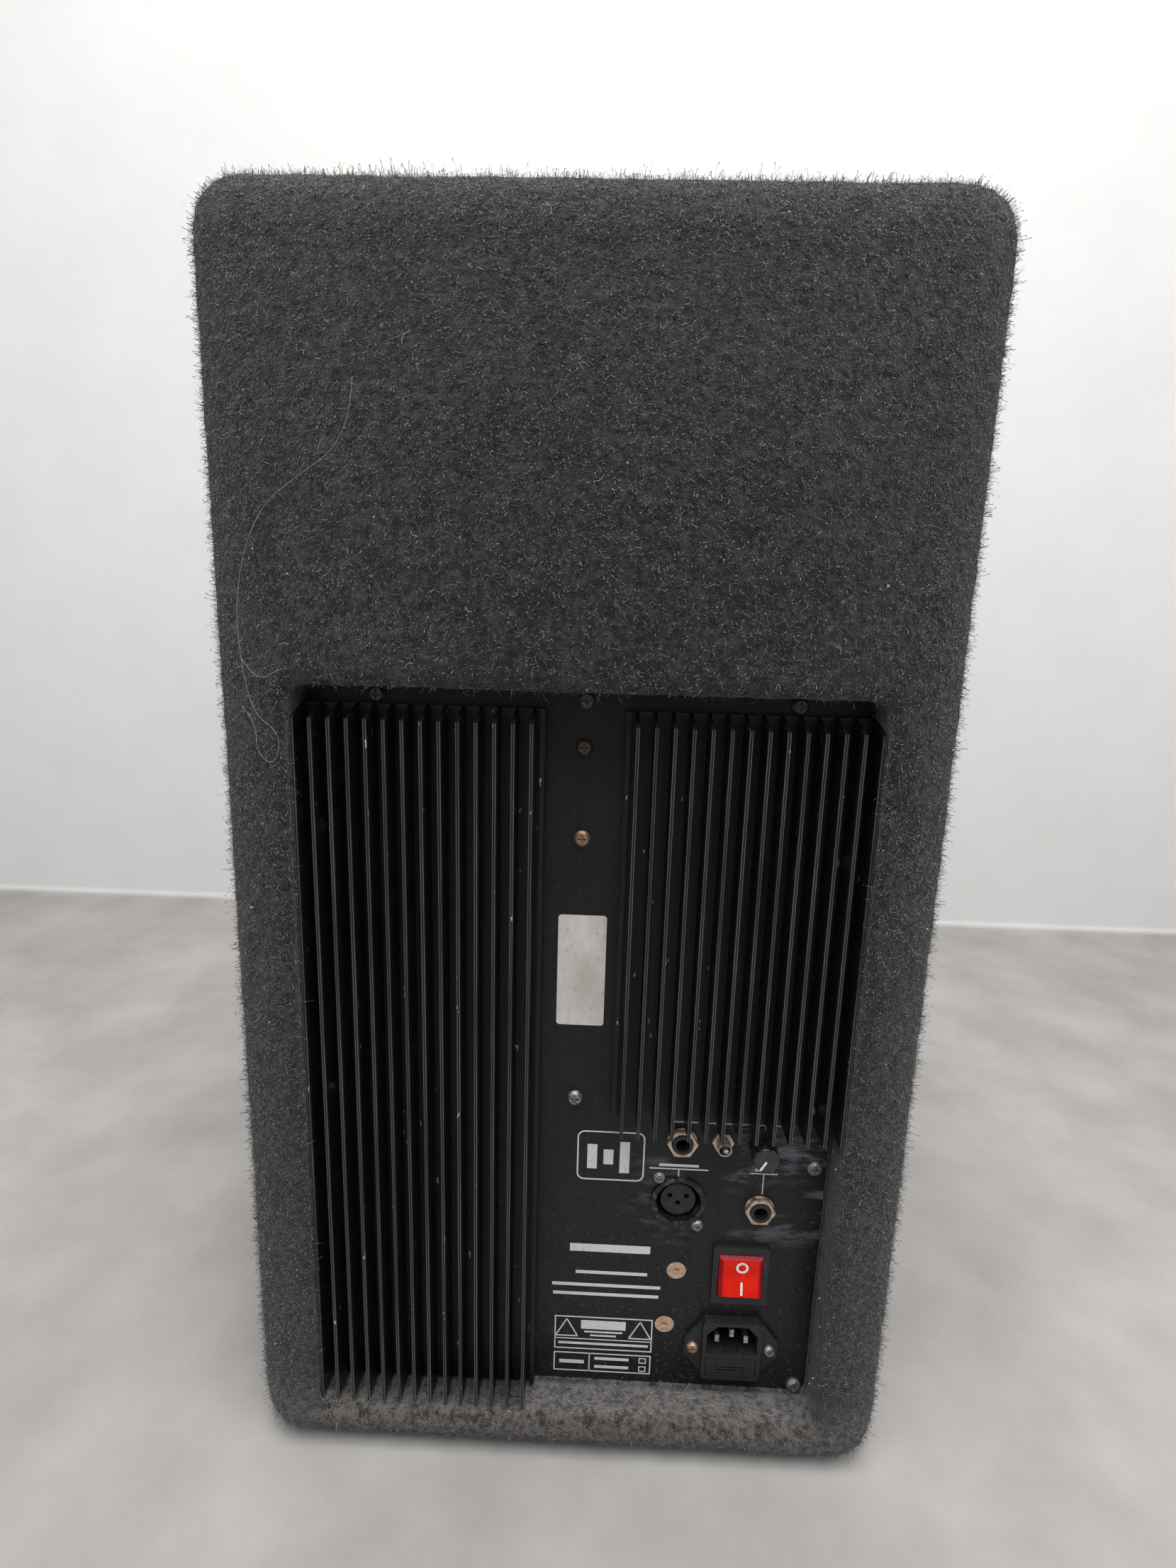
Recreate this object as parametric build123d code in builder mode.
from build123d import *
import os
from math import cos, radians, sin, sqrt

os.makedirs("parts", exist_ok=True)

# A compact powered loudspeaker: a carpeted plywood case with a two-way driver set behind a steel
# grille, and an amplifier plate with two finned heatsinks sunk into its rear.
# Millimetres.  +X is right as seen from behind, +Y points out of the front, +Z is up.
# The origin is the middle of the case's footprint, on the floor.

# ---------------------------------------------------------------- driving dimensions: case
width = 300.0
depth = 300.0
height = 547.0
corner_radius = 22.0
front_radius = 16.0
sill_radius = 10.0
foot_height = 5.0
carpet = 2.5
board = 12.0
clear = 0.1

case_bottom = foot_height
case_height = height - foot_height
case_middle = case_bottom + case_height / 2
wood_x = width / 2 - carpet
wood_y = depth / 2 - carpet
inner_x = wood_x - board
floor_top = case_bottom + carpet + board
ceiling = height - carpet - board

# ---------------------------------------------------------------- rear recess and amplifier plate
recess_x = 117.8
recess_bottom = floor_top + carpet
recess_top = 364.8
panel_face = -128.0
panel_thickness = 2.5
panel_back = panel_face + panel_thickness
panel_gap = 0.5
batten_depth = 15.0
batten_x = 102.0
batten_top = 382.0
tray_x = 101.5
tray_bottom = 29.0
tray_top = 355.0
tray_back = -57.0
tray_wall = 1.2
transformer_at = (-40, 95)

# ---------------------------------------------------------------- heatsinks
fin_count = 14
fin_pitch = 7.36
first_fin = 20.9
fin_thickness = 1.3
fin_tip = -146.4
sink_face = -132.0
sink_inner_edge = 16.5
sink_top = 356.9
fin_end_slope = 5.5
left_sink_bottom = 25.4
right_sink_bottom = 171.2

# ---------------------------------------------------------------- front
baffle_front = 124.0
baffle_back = baffle_front - board
front_gap = 0.5
grille_face = 145.0
grille_sheet = 1.5
foam_thickness = 4.0
woofer_z = 156.0
horn_z = 450.0
port_x = 66.0
port_z = 337.0

# ---------------------------------------------------------------- side handles and pole socket
handle_z = 400.0
handle_length = 164.0
handle_height = 104.0
dish_length = 132.0
dish_height = 76.0
dish_depth = 55.0
dish_wall = 2.5
grip_radius = 9.0
pole_radius = 17.75
pole_depth = 80.0
pole_y = 5.0
pole_flange_radius = 45.0
foot_radius = 12.0
foot_inset = 38.0

# ---------------------------------------------------------------- controls on the plate, (x, z)
xlr_at = (49.8, 126.5)
jack_output_at = (88.1, 124.5)
jack_input_at = (50.0, 158.4)
toggle_at = (68.7, 159.4)
volume_at = (86.4, 159.6)
rocker_at = (81.2, 88.3)
inlet_at = (79.3, 47.4)
inlet_screw_offset = 18.7
xlr_screw_offsets = [(-9.5, 12.4), (9.5, -12.4)]
xlr_nose_radius = 12.8
jack_bore_radius = 3.2
jack_bush_radius = 4.75
jack_bush_reach = 3.9
small_bush_radius = 3.17
rocker_tilt = 7.0
rocker_radius = 13.0
toggle_tilt = 12.5
knob_rest_angle = 210.0

panel_screw_at = [(-87.5, 360.6), (0, 360.6), (87.5, 360.6), (112, 147.5), (112, 25.9)]
strip_screw_at = [(-0.4, 340.9), (-0.4, 301.6), (-0.4, 178.5)]
tray_screw_at = [(50.9, 87.9), (46.7, 56.9)]
sink_screw_x = first_fin + 11.5 * fin_pitch
sink_screw_at = [(-sink_screw_x, 303), (-sink_screw_x, 180), (sink_screw_x, 296), (sink_screw_x, 180)]


# ---------------------------------------------------------------- small builders
def rear_plane(y):
    """A plane facing backwards: its x is the case's X and its y is the case's Z."""
    return Plane(origin=(0, y, 0), x_dir=(1, 0, 0), z_dir=(0, -1, 0))


def front_plane(y):
    """A plane facing forwards: its x is minus the case's X and its y is the case's Z."""
    return Plane(origin=(0, y, 0), x_dir=(-1, 0, 0), z_dir=(0, 1, 0))


def span(x, y, z, mode=Mode.ADD):
    """A box between pairs of limits."""
    with Locations(((x[0] + x[1]) / 2, (y[0] + y[1]) / 2, (z[0] + z[1]) / 2)):
        Box(x[1] - x[0], y[1] - y[0], z[1] - z[0], mode=mode)


def rod(at, y, radius, mode=Mode.ADD):
    """A round bar along Y through the point (x, z)."""
    with Locations(Location((at[0], y[0], at[1]), (-90, 0, 0))):
        Cylinder(radius, y[1] - y[0], align=(Align.CENTER, Align.CENTER, Align.MIN), mode=mode)


def case_block(inset):
    """The whole case as one rounded block, taken in by inset all round."""
    with Locations((0, 0, case_middle)):
        Box(width - 2 * inset, depth - 2 * inset, case_height - 2 * inset)
    rear = edges().group_by(Axis.Y)[0].group_by(Axis.Z)
    fillet(rear[1] + rear[2] + edges().filter_by(Axis.Y), corner_radius - inset)
    fillet(edges().group_by(Axis.Y)[0].group_by(Axis.Z)[0], sill_radius - inset)
    fillet(edges().group_by(Axis.Y)[-1], front_radius - inset)


def turned(points, at=(0, woofer_z)):
    """A ring turned about a line along Y, from its (y, radius) section."""
    section = Plane(origin=(at[0], 0, at[1]), x_dir=(0, 1, 0), z_dir=(1, 0, 0))
    with BuildSketch(section) as ring:
        with BuildLine():
            Polyline(*points, close=True)
        make_face()
    revolve(ring.sketch, axis=Axis((at[0], 0, at[1]), (0, 1, 0)))


def behind(points, y, side=1):
    """Places on the rear, where a fastener's head faces backwards."""
    return [Location((side * x, y, z), (90, 0, 0)) for x, z in points]


def screws(places, head_radius, head_height, shank_radius, shank_length):
    """Pan-headed screws with a cross recess; each place is the underside of a head."""
    low = (Align.CENTER, Align.CENTER, Align.MIN)
    high = (Align.CENTER, Align.CENTER, Align.MAX)
    with Locations(*places):
        Cylinder(shank_radius, shank_length, align=high)
        Cylinder(head_radius, head_height / 2, align=low)
        with Locations((0, 0, head_height / 2)):
            Cone(head_radius, head_radius * 0.72, head_height / 2, align=low)
            Box(head_radius * 1.1, head_radius * 0.24, head_height, align=low, mode=Mode.SUBTRACT)
            Box(head_radius * 0.24, head_radius * 1.1, head_height, align=low, mode=Mode.SUBTRACT)


def drill(places, radius, length):
    """Clearance holes under the same places."""
    with Locations(*places):
        Cylinder(radius + clear, length, align=(Align.CENTER, Align.CENTER, Align.MAX), mode=Mode.SUBTRACT)


def keep(builder, name):
    """Labels a finished piece and writes it out."""
    builder.part.label = name
    export_step(builder.part, f"parts/{name}.step")


# ---------------------------------------------------------------- fastener places
foot_at = [(sx * (width / 2 - foot_inset), sy * (depth / 2 - foot_inset)) for sx in (-1, 1) for sy in (-1, 1)]
foot_screw_places = [Location((x, y, 2.2), (180, 0, 0)) for x, y in foot_at]
pole_screw_places = [
    Location((37 * cos(radians(a)), pole_y + 37 * sin(radians(a)), case_bottom + 1.0), (180, 0, 0))
    for a in (45, 135, 225, 315)
]
handle_screw_places = [
    Location((side * (wood_x + 1.0), sy * 74, handle_z + sz * 44), (0, side * 90, 0))
    for side in (-1, 1)
    for sy in (-1, 1)
    for sz in (-1, 1)
]
case_screw_places = foot_screw_places + pole_screw_places + handle_screw_places
case_screw = dict(shank_radius=2.0, shank_length=13.0)

woofer_screw_places = [
    Location((121.5 * cos(radians(a)), baffle_front + 4, woofer_z + 121.5 * sin(radians(a))), (-90, 0, 0))
    for a in range(0, 360, 45)
]
horn_screw_places = [
    Location((sx * 111, baffle_front + 4, horn_z + sz * 54), (-90, 0, 0)) for sx in (-1, 1) for sz in (-1, 1)
]
grille_screw_places = [
    Location((sx * 125, grille_face, z), (-90, 0, 0)) for sx in (-1, 1) for z in (40, 320, 512)
]
front_screw_places = woofer_screw_places + horn_screw_places + grille_screw_places
front_screw = dict(shank_radius=2.5, shank_length=24.0)

# ---------------------------------------------------------------- case: plywood
with BuildPart() as top_board:
    case_block(carpet)
    span((-inner_x, inner_x), (-wood_y, wood_y), (ceiling, height), Mode.INTERSECT)
keep(top_board, "top_board")

with BuildPart() as bottom_board:
    case_block(carpet)
    span((-inner_x, inner_x), (-wood_y, wood_y), (case_bottom, floor_top), Mode.INTERSECT)
    with Locations((0, pole_y, floor_top)):
        Cylinder(pole_radius + 3.5 + clear, 2 * board + 2 * carpet, mode=Mode.SUBTRACT)
    drill(foot_screw_places + pole_screw_places, case_screw["shank_radius"], case_screw["shank_length"])
keep(bottom_board, "bottom_board")

for side, side_name in ((-1, "left"), (1, "right")):
    with BuildPart() as side_board:
        case_block(carpet)
        outer, inner = side * (wood_x + 1), side * inner_x
        span((min(outer, inner), max(outer, inner)), (-wood_y, wood_y), (case_bottom, height), Mode.INTERSECT)
        with Locations((side * wood_x, 0, handle_z)):
            Box(4 * board, dish_length + 1, dish_height + 1, mode=Mode.SUBTRACT)
        drill(handle_screw_places, case_screw["shank_radius"], case_screw["shank_length"])
    keep(side_board, f"side_board_{side_name}")

lining_x = recess_x + carpet
lining_top = recess_top + carpet
with BuildPart() as upper_back_board:
    case_block(carpet)
    span((-inner_x, inner_x), (-wood_y, -wood_y + board), (lining_top, ceiling), Mode.INTERSECT)
keep(upper_back_board, "upper_back_board")

with BuildPart() as rear_rails:
    case_block(carpet)
    span((-inner_x, inner_x), (-wood_y, panel_back), (floor_top, lining_top), Mode.INTERSECT)
    span((-lining_x, lining_x), (-wood_y - 1, panel_back + 1), (floor_top - 1, lining_top + 1), Mode.SUBTRACT)
keep(rear_rails, "rear_rails")

with BuildPart() as panel_battens:
    batten_y = (panel_back, panel_back + batten_depth)
    for side in (-1, 1):
        span(sorted((side * batten_x, side * inner_x)), batten_y, (floor_top, batten_top))
    span((-batten_x + clear, batten_x - clear), batten_y, (tray_top + 1.5, batten_top))
    span((-batten_x + clear, batten_x - clear), batten_y, (floor_top, tray_bottom - 1))
    drill(behind(panel_screw_at, panel_face), 1.8, 12)
    drill(behind(sink_screw_at, sink_face), 1.5, 9)
keep(panel_battens, "panel_battens")

with BuildPart() as front_baffle:
    span((-inner_x, inner_x), (baffle_back, baffle_front), (floor_top, ceiling))
    rod((0, woofer_z), (baffle_back - 1, baffle_front + 1), 115, Mode.SUBTRACT)
    for side in (-1, 1):
        rod((side * port_x, port_z), (baffle_back - 1, baffle_front + 1), 29.2, Mode.SUBTRACT)
    with BuildSketch(front_plane(baffle_front)):
        with Locations((0, horn_z)):
            RectangleRounded(214, 106, 13)
    extrude(amount=-board, mode=Mode.SUBTRACT)
    drill(front_screw_places, front_screw["shank_radius"], front_screw["shank_length"])
keep(front_baffle, "front_baffle")

# ---------------------------------------------------------------- case: carpet
front_x = inner_x - carpet
front_z = (floor_top + carpet, ceiling - carpet)

with BuildPart() as wood_block:
    case_block(carpet)

with BuildPart() as front_lining:
    case_block(0)
    span((-inner_x, inner_x), (baffle_front, wood_y), (floor_top, ceiling), Mode.INTERSECT)
    span((-front_x, front_x), (baffle_front - 1, wood_y + 1), front_z, Mode.SUBTRACT)

with BuildPart() as carpet_wrap:
    case_block(0)
    add(wood_block.part, mode=Mode.SUBTRACT)
    span((-width, width), (panel_face, depth), (0, height + 1), Mode.INTERSECT)
    span((-front_x, front_x), (0, depth), front_z, Mode.SUBTRACT)
    add(front_lining.part)
    with BuildSketch(Plane.YZ.offset(-width)):
        with Locations((0, handle_z)):
            RectangleRounded(handle_length + 1, handle_height + 1, 14)
    extrude(amount=2 * width, mode=Mode.SUBTRACT)
    with Locations((0, pole_y, case_bottom)):
        Cylinder(pole_flange_radius + 0.5, 4 * carpet, mode=Mode.SUBTRACT)
    drill(foot_screw_places, case_screw["shank_radius"], case_screw["shank_length"])
keep(carpet_wrap, "carpet_wrap")

with BuildPart() as rear_lining:
    case_block(0)
    span((-lining_x, lining_x), (-wood_y, panel_back), (floor_top, lining_top), Mode.INTERSECT)
    span((-recess_x, recess_x), (-depth, 0), (recess_bottom, recess_top), Mode.SUBTRACT)

with BuildPart() as carpet_back:
    case_block(0)
    add(wood_block.part, mode=Mode.SUBTRACT)
    span((-width, width), (-depth, panel_face), (0, height + 1), Mode.INTERSECT)
    span((-recess_x, recess_x), (-depth, 0), (recess_bottom, recess_top), Mode.SUBTRACT)
    add(rear_lining.part)
keep(carpet_back, "carpet_back")

# ---------------------------------------------------------------- case: feet, handles, pole socket
with BuildPart() as rubber_feet:
    with Locations(*[(x, y, 0) for x, y in foot_at]):
        Cone(foot_radius - 1.5, foot_radius, foot_height, align=(Align.CENTER, Align.CENTER, Align.MIN))
        Cylinder(4.4, 2 * 2.2, mode=Mode.SUBTRACT)
        Cylinder(case_screw["shank_radius"] + clear, 20, mode=Mode.SUBTRACT)
keep(rubber_feet, "rubber_feet")

with BuildPart() as pole_socket:
    with Locations((0, pole_y, case_bottom)):
        Cylinder(pole_flange_radius, carpet, align=(Align.CENTER, Align.CENTER, Align.MIN))
        Cylinder(pole_radius + 3.5, pole_depth + 3, align=(Align.CENTER, Align.CENTER, Align.MIN))
        Cylinder(pole_radius, 2 * pole_depth, mode=Mode.SUBTRACT)
    with Locations(*pole_screw_places):
        Cylinder(4.4, 3, align=(Align.CENTER, Align.CENTER, Align.MIN), mode=Mode.SUBTRACT)
    drill(pole_screw_places, case_screw["shank_radius"], case_screw["shank_length"])
keep(pole_socket, "pole_socket")

for side, side_name in ((-1, "left"), (1, "right")):
    with BuildPart() as handle_dish:
        face = Plane(origin=(side * wood_x, 0, handle_z), x_dir=(0, 1, 0), z_dir=(side, 0, 0))
        with BuildSketch(face):
            RectangleRounded(handle_length, handle_height, 13.5)
        extrude(amount=carpet)
        with BuildSketch(face):
            RectangleRounded(dish_length, dish_height, 12)
        extrude(amount=-dish_depth)
        with BuildSketch(face.offset(carpet)):
            RectangleRounded(dish_length - 2 * dish_wall, dish_height - 2 * dish_wall, 10)
        extrude(amount=-(dish_depth + carpet - dish_wall), taper=4, mode=Mode.SUBTRACT)
        with Locations(*handle_screw_places):
            Cylinder(4.4, 3, align=(Align.CENTER, Align.CENTER, Align.MIN), mode=Mode.SUBTRACT)
        drill(handle_screw_places, case_screw["shank_radius"], case_screw["shank_length"])
    keep(handle_dish, f"handle_dish_{side_name}")

with BuildPart() as handle_grips:
    for side in (-1, 1):
        with Locations(Location((side * (wood_x - 8), 0, handle_z + 14), (90, 0, 0))):
            Cylinder(grip_radius, dish_length - 2 * dish_wall - 3)
keep(handle_grips, "handle_grips")

with BuildPart() as case_screws:
    screws(case_screw_places, 4.0, 1.4, **case_screw)
keep(case_screws, "case_screws")

# ---------------------------------------------------------------- front: grille
foam_back = grille_face - grille_sheet - foam_thickness
with BuildPart() as grille:
    with BuildSketch(front_plane(baffle_front)):
        with Locations((0, (front_z[0] + front_z[1]) / 2)):
            RectangleRounded(2 * (front_x - front_gap), front_z[1] - front_z[0] - 2 * front_gap, 3)
    extrude(amount=grille_face - baffle_front)
    with BuildSketch(front_plane(baffle_front)):
        with Locations((0, (front_z[0] + front_z[1]) / 2)):
            edge = front_gap + grille_sheet
            RectangleRounded(2 * (front_x - edge), front_z[1] - front_z[0] - 2 * edge, 1.5)
    extrude(amount=grille_face - grille_sheet - baffle_front, mode=Mode.SUBTRACT)
    drill(grille_screw_places, front_screw["shank_radius"], front_screw["shank_length"])
keep(grille, "grille")

with BuildPart() as grille_foam:
    span((-128, 128), (foam_back, foam_back + foam_thickness - 0.2), (26, 526))
    drill(grille_screw_places, front_screw["shank_radius"] + 0.5, front_screw["shank_length"])
keep(grille_foam, "grille_foam")

with BuildPart() as front_screws:
    screws(front_screw_places, 4.6, 2.2, **front_screw)
keep(front_screws, "front_screws")

# ---------------------------------------------------------------- front: woofer
flange_y = baffle_front + 4
with BuildPart() as woofer_basket:
    turned([(124, 104), (124, 113), (80, 69), (50, 69), (50, 36), (46, 36), (46, 71), (80.8, 71),
            (121, 111.5), (124, 114.4), (124, 129), (128, 129), (128, 104)])
    turned([(74.5, 58), (74.5, 70), (77, 70), (77, 58)])
    windows = [Location((0, 0, woofer_z), (0, a, 0)) for a in range(0, 360, 60)]
    with Locations(*windows):
        with Locations((0, 97, 88)):
            Box(40, 26, 50, mode=Mode.SUBTRACT)
    drill(woofer_screw_places, front_screw["shank_radius"], front_screw["shank_length"])
keep(woofer_basket, "woofer_basket")

with BuildPart() as woofer_gasket:
    turned([(flange_y, 112.5), (flange_y, 116.5), (flange_y + 3, 116.5), (flange_y + 3, 112.5)])
keep(woofer_gasket, "woofer_gasket")

roll_radius = 10.0
roll_middle = 97.0
surround_section = Plane(origin=(0, 0, woofer_z), x_dir=(0, 1, 0), z_dir=(1, 0, 0))
with BuildPart() as woofer_surround:
    with BuildSketch(surround_section):
        with Locations((flange_y, roll_middle)):
            Circle(roll_radius)
            Circle(roll_radius - 0.9, mode=Mode.SUBTRACT)
        with Locations((flange_y - roll_radius, roll_middle)):
            Rectangle(2 * roll_radius, 3 * roll_radius, mode=Mode.SUBTRACT)
        with Locations((flange_y + 0.45, roll_middle + roll_radius + 2.5)):
            Rectangle(0.9, 5.4)
        with Locations((flange_y + 0.45, roll_middle - roll_radius - 1.5)):
            Rectangle(0.9, 3.4)
    revolve(axis=Axis((0, 0, woofer_z), (0, 1, 0)))
keep(woofer_surround, "woofer_surround")

cone_rim = 87.0
with BuildPart() as woofer_cone:
    turned([(flange_y - 0.1, cone_rim), (flange_y - 0.1, cone_rim - 2), (92, 26), (90.5, 26), (90.5, 27.2),
            (flange_y - 1.3, cone_rim)])
keep(woofer_cone, "woofer_cone")

with BuildPart() as woofer_dust_cap:
    cap_radius = 34.0
    cap_sphere = 42.0
    cap_base = 97.5
    sphere_middle = cap_base - sqrt(cap_sphere**2 - cap_radius**2)
    with Locations((0, sphere_middle, woofer_z)):
        Sphere(cap_sphere)
        Sphere(cap_sphere - 0.8, mode=Mode.SUBTRACT)
    span((-60, 60), (cap_base, cap_base + 60), (woofer_z - 60, woofer_z + 60), Mode.INTERSECT)
keep(woofer_dust_cap, "woofer_dust_cap")

with BuildPart() as woofer_voice_coil:
    turned([(35.5, 25), (35.5, 26.6), (50, 26.6), (50, 25.8), (93, 25.8), (93, 25)])
keep(woofer_voice_coil, "woofer_voice_coil")

with BuildPart() as woofer_spider:
    wave = [(77.2, 26.2)] + [(77.2 + 2 * (i % 2), 30 + 4 * i) for i in range(8)] + [(77.2, 64)]
    back_wave = [(y + 0.6, r) for y, r in reversed(wave)]
    turned(wave + back_wave)
keep(woofer_spider, "woofer_spider")

with BuildPart() as woofer_top_plate:
    turned([(40, 27.4), (40, 55), (46, 55), (46, 27.4)])
keep(woofer_top_plate, "woofer_top_plate")

with BuildPart() as woofer_magnet:
    turned([(20, 34), (20, 60), (40, 60), (40, 34)])
    fillet(edges().filter_by(GeomType.CIRCLE).group_by(SortBy.RADIUS)[-1], 2)
keep(woofer_magnet, "woofer_magnet")

with BuildPart() as woofer_pole_plate:
    turned([(14, 0), (14, 56), (20, 56), (20, 24.3), (46, 24.3), (46, 0)])
keep(woofer_pole_plate, "woofer_pole_plate")

# ---------------------------------------------------------------- front: horn and ports
throat_y = 50.0
with BuildPart() as horn_flare:
    for y, w, h, r in ((throat_y + 2, 34, 34, 9), (baffle_front + 2, 212, 104, 12)):
        with BuildSketch(front_plane(y)):
            with Locations((0, horn_z)):
                RectangleRounded(w, h, r)
    loft()
    with BuildSketch(front_plane(baffle_front)):
        with Locations((0, horn_z)):
            RectangleRounded(236, 124, 8)
    extrude(amount=4)
    rod((0, horn_z), (throat_y, throat_y + 4), 38)
    for y, w, h, r in ((throat_y - 0.5, 24, 24, 7), (baffle_front + 4.5, 206, 98, 9)):
        with BuildSketch(front_plane(y)):
            with Locations((0, horn_z)):
                RectangleRounded(w, h, r)
    loft(mode=Mode.SUBTRACT)
    drill(horn_screw_places, front_screw["shank_radius"], front_screw["shank_length"])
keep(horn_flare, "horn_flare")

with BuildPart() as compression_driver:
    driver_outline = [(4, 0), (4, 36), (10, 45), (38, 45), (41, 40), (50, 38), (50, 12.5), (38, 10), (38, 0)]
    turned(driver_outline, (0, horn_z))
keep(compression_driver, "compression_driver")

with BuildPart() as port_tubes:
    for side in (-1, 1):
        turned([(34, 26.5), (34, 29), (124, 29), (124, 36), (126, 36), (126, 28), (123, 26.5)],
               (side * port_x, port_z))
keep(port_tubes, "port_tubes")

# ---------------------------------------------------------------- rear: amplifier plate
rocker_cut = (23.8, 30.4)
inlet_cut = (28.2, 31.4)
window_z = (150.0, 330.0)
with BuildPart() as control_panel:
    span((-recess_x + panel_gap, recess_x - panel_gap), (panel_face, panel_back),
         (recess_bottom + panel_gap, recess_top - panel_gap))
    span((-100, -36), (panel_face - 1, panel_back + 1), window_z, Mode.SUBTRACT)
    span((36, 100), (panel_face - 1, panel_back + 1), (210, window_z[1]), Mode.SUBTRACT)
    with BuildSketch(rear_plane(panel_back)):
        with Locations(rocker_at):
            Rectangle(*rocker_cut)
        with Locations(inlet_at):
            Rectangle(*inlet_cut)
        with Locations(xlr_at):
            Circle(xlr_nose_radius + clear)
        with Locations(jack_output_at, jack_input_at):
            Circle(jack_bush_radius + clear)
        with Locations(toggle_at, volume_at):
            Circle(small_bush_radius + clear)
    extrude(amount=panel_thickness, mode=Mode.SUBTRACT)
    xlr_screw_at = [(xlr_at[0] + dx, xlr_at[1] + dz) for dx, dz in xlr_screw_offsets]
    inlet_screw_at = [(inlet_at[0] + sx * inlet_screw_offset, inlet_at[1]) for sx in (-1, 1)]
    drill(behind(panel_screw_at + strip_screw_at, panel_face), 1.8, 12)
    drill(behind(xlr_screw_at, panel_face), 1.5, 9)
    drill(behind(inlet_screw_at, panel_face - 2), 1.5, 9)
    drill(behind(sink_screw_at, sink_face), 1.5, 9)
    with Locations(*behind(tray_screw_at, panel_face)):
        Cone(2.6, 4.8, 2.2, align=(Align.CENTER, Align.CENTER, Align.MAX), mode=Mode.SUBTRACT)
        Cylinder(2.6, 5, mode=Mode.SUBTRACT)
keep(control_panel, "control_panel")

for side, side_name, bottom in ((-1, "left", left_sink_bottom), (1, "right", right_sink_bottom)):
    with BuildPart() as heatsink:
        outer_edge = side * (recess_x - panel_gap)
        inner_edge = side * sink_inner_edge
        span(sorted((inner_edge, outer_edge)), (sink_face, panel_face), (bottom, sink_top))
        span(sorted((inner_edge, inner_edge + side * 2)), (sink_face - 3, sink_face), (bottom, sink_top))
        side_section = Plane(origin=(side * first_fin, 0, 0), x_dir=(0, 1, 0), z_dir=(1, 0, 0))
        with BuildSketch(side_section):
            with BuildLine():
                Polyline((sink_face + 0.5, bottom), (sink_face + 0.5, sink_top), (sink_face, sink_top),
                         (fin_tip, sink_top - fin_end_slope), (fin_tip, bottom), close=True)
            make_face()
        fin = extrude(amount=fin_thickness / 2, both=True)
        with Locations(*[(side * i * fin_pitch, 0, 0) for i in range(1, fin_count)]):
            add(fin)
        drill(behind(sink_screw_at, sink_face), 1.5, 9)
    keep(heatsink, f"heatsink_{side_name}")

with BuildPart() as m3_screws:
    screws(behind(sink_screw_at, sink_face), 2.8, 2.0, 1.5, 8.0)
    screws(behind(xlr_screw_at, panel_face), 2.8, 2.0, 1.5, 8.0)
    screws(behind(inlet_screw_at, panel_face - 2), 2.8, 2.0, 1.5, 8.0)
keep(m3_screws, "m3_screws")

with BuildPart() as panel_screws:
    screws(behind(panel_screw_at + strip_screw_at, panel_face), 3.5, 2.2, 1.8, 12.0)
keep(panel_screws, "panel_screws")

with BuildPart() as tray_screws:
    with Locations(*behind(tray_screw_at, panel_face)):
        Cone(2.5, 4.65, 2.15, align=(Align.CENTER, Align.CENTER, Align.MAX))
        Cylinder(2.5, 12, align=(Align.CENTER, Align.CENTER, Align.MAX))
        Cylinder(1.5, 2.4, mode=Mode.SUBTRACT)
keep(tray_screws, "tray_screws")

# ---------------------------------------------------------------- rear: electronics
with BuildPart() as electronics_tray:
    span((-tray_x, tray_x), (panel_back, tray_back), (tray_bottom, tray_top))
    span((-tray_x + tray_wall, tray_x - tray_wall), (panel_back - 1, tray_back - tray_wall),
         (tray_bottom + tray_wall, tray_top - tray_wall), Mode.SUBTRACT)
    rod(transformer_at, (tray_back - 5, tray_back + 5), 4.2, Mode.SUBTRACT)
keep(electronics_tray, "electronics_tray")

board_y = (-104.0, -102.4)
with BuildPart() as power_amp_boards:
    span((-94, -24), board_y, (160, 340))
    span((24, 94), board_y, (190, 340))
keep(power_amp_boards, "power_amp_boards")

with BuildPart() as power_transistors:
    for x, z in ((-84, 190), (-52, 190), (-84, 280), (-52, 280), (52, 270), (84, 270)):
        span((x - 8, x + 8), (panel_face, panel_face + 5), (z - 10.5, z + 10.5))
        for dx in (-5.4, 0, 5.4):
            rod((x + dx, z), (panel_face + 4.5, board_y[0]), 0.6)
keep(power_transistors, "power_transistors")

with BuildPart() as filter_capacitors:
    for x in (42, 76):
        for z in (215, 305):
            rod((x, z), (board_y[1], -63), 12.5)
keep(filter_capacitors, "filter_capacitors")

toroid_back = tray_back - tray_wall
with BuildPart() as toroidal_transformer:
    toroid_front = toroid_back - 44
    turned([(toroid_front, 17), (toroid_front, 50), (toroid_back, 50), (toroid_back, 17)], transformer_at)
    fillet(edges().filter_by(GeomType.CIRCLE), 7)
keep(toroidal_transformer, "toroidal_transformer")

with BuildPart() as transformer_bolt:
    rod(transformer_at, (toroid_back - 50, tray_back + 8), 4)
    rod(transformer_at, (toroid_back - 46, toroid_back - 44), 30)
    for y in (toroid_back - 52, tray_back):
        with BuildSketch(rear_plane(y + 6)):
            with Locations(transformer_at):
                RegularPolygon(6.5, 6, major_radius=False)
        extrude(amount=6)
keep(transformer_bolt, "transformer_bolt")

with BuildPart() as input_board:
    span((36, 96), (-100, -98.4), (108, 172))
keep(input_board, "input_board")

# ---------------------------------------------------------------- rear: sockets
with BuildPart() as jack_sockets:
    for x, z in (jack_output_at, jack_input_at):
        span((x - 7.5, x + 7.5), (panel_back, -101.5), (z - 8, z + 8))
        rod((x, z), (panel_face - jack_bush_reach, panel_back), jack_bush_radius)
        rod((x, z), (panel_face - 7, -104), jack_bore_radius, Mode.SUBTRACT)
keep(jack_sockets, "jack_sockets")

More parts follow.
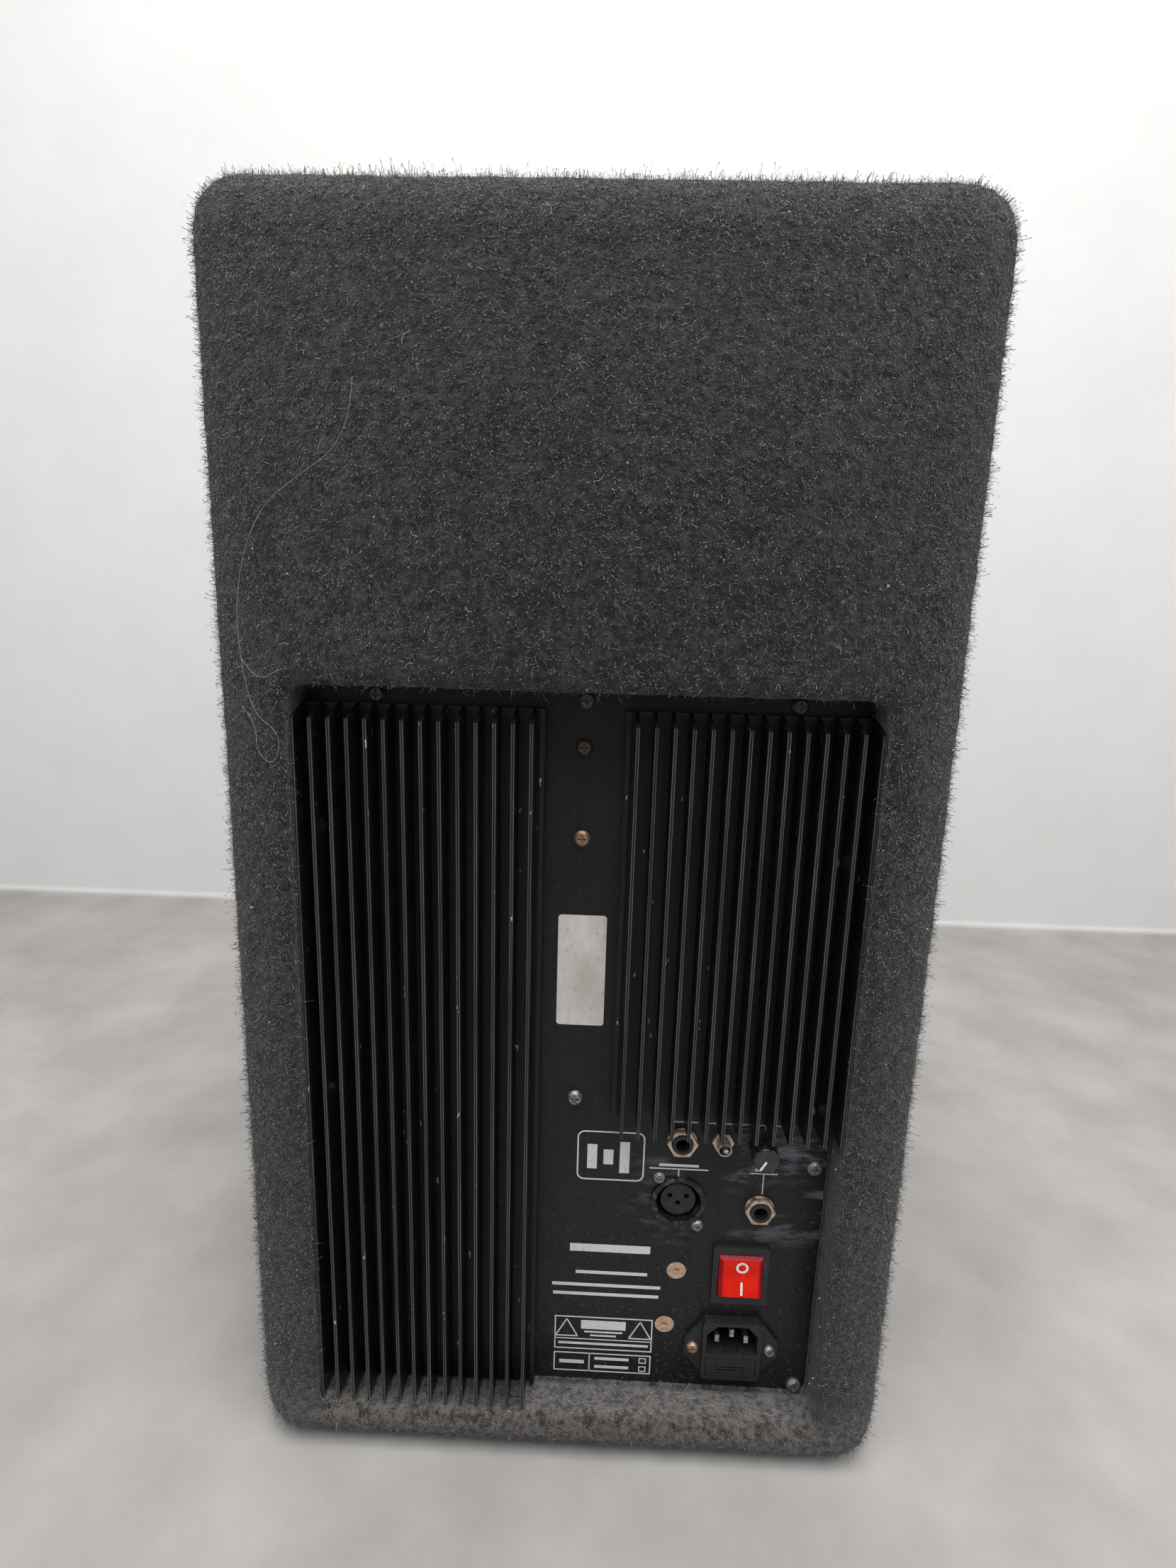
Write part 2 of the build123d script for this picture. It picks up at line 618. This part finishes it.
with BuildPart() as jack_nuts:
    for place in (jack_output_at, jack_input_at):
        with BuildSketch(rear_plane(panel_face)):
            with Locations(place):
                Circle(6.9)
                Circle(jack_bush_radius + 0.05, mode=Mode.SUBTRACT)
        extrude(amount=0.8)
        with BuildSketch(rear_plane(panel_face - 0.8)):
            with Locations(place):
                RegularPolygon(6.35, 6, major_radius=False)
                Circle(jack_bush_radius + 0.05, mode=Mode.SUBTRACT)
        extrude(amount=2.6)
keep(jack_nuts, "jack_nuts")

with BuildPart() as xlr_shell:
    with BuildSketch(rear_plane(panel_back + 2)):
        with Locations(xlr_at):
            RectangleRounded(26, 31, 3)
    extrude(amount=2)
    rod(xlr_at, (panel_face - 1.5, panel_back + 1), xlr_nose_radius)
    rod(xlr_at, (panel_back, -105), 12)
    rod(xlr_at, (panel_face - 2, -107), 10.6, Mode.SUBTRACT)
    drill(behind(xlr_screw_at, panel_face), 1.5, 9)
keep(xlr_shell, "xlr_shell")

with BuildPart() as xlr_insert:
    rod(xlr_at, (panel_face + 0.8, -107), 8.2)
    for dx, dz in ((-3.9, 1.8), (3.9, 1.8), (0, -2.0)):
        rod((xlr_at[0] + dx, xlr_at[1] + dz), (panel_face, -112), 1.3, Mode.SUBTRACT)
keep(xlr_insert, "xlr_insert")

inlet_x, inlet_z = inlet_at
inlet_face = panel_face - 4.5
inlet_back = -106.0
hexagon = [(13.2, 16.25), (22.7, 4.2), (22.7, -4.2), (13.2, -16.25)]
outline = [(inlet_x + x, inlet_z + z) for x, z in hexagon]
outline += [(inlet_x - x, inlet_z + z) for x, z in reversed(hexagon)]
cavity_x = 12.3
cavity_z = (inlet_z - 1.4, inlet_z + 14.4)
cavity_back = inlet_face + 16.5
cavity = [(-cavity_x, cavity_z[0]), (cavity_x, cavity_z[0]), (cavity_x, cavity_z[1] - 5),
          (cavity_x - 5, cavity_z[1]), (5 - cavity_x, cavity_z[1]), (-cavity_x, cavity_z[1] - 5)]
drawer_z = inlet_z - 8.9
blade_at = [(-7, -0.8), (0, 2.4), (7, -0.8)]
blade_z = (cavity_z[0] + cavity_z[1]) / 2
with BuildPart() as inlet_body:
    with BuildSketch(rear_plane(panel_face)):
        Polygon(*outline, align=None)
    extrude(amount=2)
    fillet(edges().filter_by(Axis.Y), 1.5)
    with BuildSketch(rear_plane(panel_face)):
        with Locations(inlet_at):
            RectangleRounded(28.4, 32.5, 2)
    extrude(amount=4.5)
    span((inlet_x - 13.9, inlet_x + 13.9), (panel_face - 1, inlet_back), (inlet_z - 15.5, inlet_z + 15.5))
    with BuildSketch(rear_plane(cavity_back)):
        Polygon(*[(inlet_x + x, z) for x, z in cavity], align=None)
    extrude(amount=20, mode=Mode.SUBTRACT)
    span((inlet_x - 4, inlet_x + 4), (inlet_face + 1.2, inlet_face + 6), (cavity_z[0] - 1.6, cavity_z[0] + 1),
         Mode.SUBTRACT)
    span((inlet_x - 12.2, inlet_x + 12.2), (inlet_face - 1, inlet_face + 2), (drawer_z - 5.2, drawer_z + 5.2),
         Mode.SUBTRACT)
    drawer_bay = (drawer_z - 4.3, drawer_z + 4.3)
    span((inlet_x - 10.3, inlet_x + 10.3), (inlet_face - 1, inlet_face + 24), drawer_bay, Mode.SUBTRACT)
    for dx, dz in blade_at:
        x, z = inlet_x + dx, blade_z + dz
        span((x - 1.05, x + 1.05), (cavity_back - 1, inlet_back + 1), (z - 2.05, z + 2.05), Mode.SUBTRACT)
    drill(behind(inlet_screw_at, panel_face - 2), 1.5, 9)
keep(inlet_body, "inlet_body")

with BuildPart() as inlet_pins:
    for dx, dz in blade_at:
        x, z = inlet_x + dx, blade_z + dz
        span((x - 1, x + 1), (inlet_face + 2, inlet_back + 6), (z - 2, z + 2))
keep(inlet_pins, "inlet_pins")

fuse_x = inlet_x - 4.6
with BuildPart() as fuse_drawer:
    span((inlet_x - 11.9, inlet_x + 11.9), (inlet_face, inlet_face + 1.7), (drawer_z - 4.9, drawer_z + 4.9))
    span((inlet_x - 10, inlet_x + 10), (inlet_face + 1, inlet_face + 23.5), (drawer_z - 4, drawer_z + 4))
    for dz in (1.6, 0, -1.6):
        ridge_z = (drawer_z + dz - 0.35, drawer_z + dz + 0.35)
        span((inlet_x - 7, inlet_x + 7), (inlet_face - 0.6, inlet_face + 1), ridge_z)
    for x in (fuse_x, 2 * inlet_x - fuse_x):
        trough_y = (inlet_face + 2.4, inlet_face + 22.8)
        span((x - 2.75, x + 2.75), trough_y, (drawer_z - 2.75, drawer_z + 5), Mode.SUBTRACT)
keep(fuse_drawer, "fuse_drawer")

with BuildPart() as fuse:
    rod((fuse_x, drawer_z - 0.1), (inlet_face + 2.6, inlet_face + 7.6), 2.6)
    rod((fuse_x, drawer_z - 0.1), (inlet_face + 7.6, inlet_face + 17.6), 2.3)
    rod((fuse_x, drawer_z - 0.1), (inlet_face + 17.6, inlet_face + 22.6), 2.6)
keep(fuse, "fuse")

# ---------------------------------------------------------------- rear: switches and volume control
rocker_x, rocker_z = rocker_at
rocker_pivot_y = panel_face + 4.5
paddle_x = 10.3
crease = 8.18
with BuildPart() as rocker_frame:
    with BuildSketch(rear_plane(panel_face)):
        with Locations(rocker_at):
            RectangleRounded(26.5, 31.5, 1.6)
    extrude(amount=2)
    well_y = (panel_face - 1, panel_face + 20)
    span((rocker_x - 11.7, rocker_x + 11.7), well_y, (rocker_z - 15, rocker_z + 15))
    with Locations(Location((rocker_x, rocker_pivot_y, rocker_z), (0, 90, 0))):
        Cylinder(rocker_radius + 0.3, 2 * paddle_x + 0.6, mode=Mode.SUBTRACT)
        Cylinder(1.56, 22.4, mode=Mode.SUBTRACT)
keep(rocker_frame, "rocker_frame")

with BuildPart() as rocker_paddle:
    across = Plane(origin=(rocker_x, rocker_pivot_y, rocker_z), x_dir=(0, 0, 1), z_dir=(1, 0, 0))
    with BuildSketch(across.rotated((-rocker_tilt, 0, 0))):
        Circle(rocker_radius)
        wing = crease + 14 * sin(radians(rocker_tilt))
        Polygon((-14, -4), (14, -4), (14, wing), (0, crease), (-14, wing), align=None, mode=Mode.INTERSECT)
    extrude(amount=paddle_x, both=True)
    face_edges = edges().filter_by(GeomType.LINE).filter_by_position(Axis.Y, -depth, panel_face - 1)
    chamfer(face_edges.filter_by(Axis.X, reverse=True), 1.0)
    with Locations(Location((rocker_x, rocker_pivot_y, rocker_z), (0, 90, 0))):
        Cylinder(1.5, 22)
keep(rocker_paddle, "rocker_paddle")

with BuildPart() as toggle_body:
    x, z = toggle_at
    span((x - 4, x + 4), (panel_back, panel_back + 9), (z - 6.5, z + 6.5))
    rod(toggle_at, (panel_face - 7, panel_back + 1), small_bush_radius)
    rod(toggle_at, (panel_face - 8, panel_face + 1), 2.66, Mode.SUBTRACT)
keep(toggle_body, "toggle_body")

toggle_pivot = (toggle_at[0], panel_face - 2, toggle_at[1])
lever_length = 7.6
with BuildPart() as toggle_lever:
    with Locations(toggle_pivot):
        Sphere(2.58)
    with Locations(Location(toggle_pivot, (90 - toggle_tilt, 0, 0))):
        Cone(1.0, 1.25, lever_length, align=(Align.CENTER, Align.CENTER, Align.MIN))
        with Locations((0, 0, lever_length)):
            Sphere(1.3)
keep(toggle_lever, "toggle_lever")

with BuildPart() as control_nuts:
    for place in (toggle_at, volume_at):
        with BuildSketch(rear_plane(panel_face)):
            with Locations(place):
                RegularPolygon(4.4, 6, major_radius=False)
                Circle(small_bush_radius + 0.05, mode=Mode.SUBTRACT)
        extrude(amount=2)
keep(control_nuts, "control_nuts")

with BuildPart() as potentiometer:
    rod(volume_at, (panel_back, -113), 8.5)
    rod(volume_at, (panel_face - 2.6, panel_back + 1), small_bush_radius)
    rod(volume_at, (panel_face - 3, -116), 2.05, Mode.SUBTRACT)
keep(potentiometer, "potentiometer")

knob_back = panel_face - 3.0
knob_length = 10.2
with BuildPart() as volume_knob:
    with Locations(Location((volume_at[0], knob_back, volume_at[1]), (90, 0, 0))):
        Cone(6.5, 5.8, knob_length, align=(Align.CENTER, Align.CENTER, Align.MIN))
    fillet(edges().group_by(Axis.Y)[0], 0.8)
    with Locations(*[Location((volume_at[0], knob_back, volume_at[1]), (90, a, 0)) for a in range(0, 360, 30)]):
        with Locations((6.9, 0, 0)):
            Cylinder(0.9, 7, align=(Align.CENTER, Align.CENTER, Align.MIN), mode=Mode.SUBTRACT)
    rod(volume_at, (knob_back - 0.5, -118), 2.0)
    pointer = Location((volume_at[0], knob_back - knob_length, volume_at[1]), (90, 0, 0))
    with Locations(pointer * Location((0, 0, 0), (0, 0, 90 - knob_rest_angle))):
        with Locations((2.9, 0, 0)):
            Box(5.4, 1.1, 0.6, mode=Mode.SUBTRACT)
keep(volume_knob, "volume_knob")
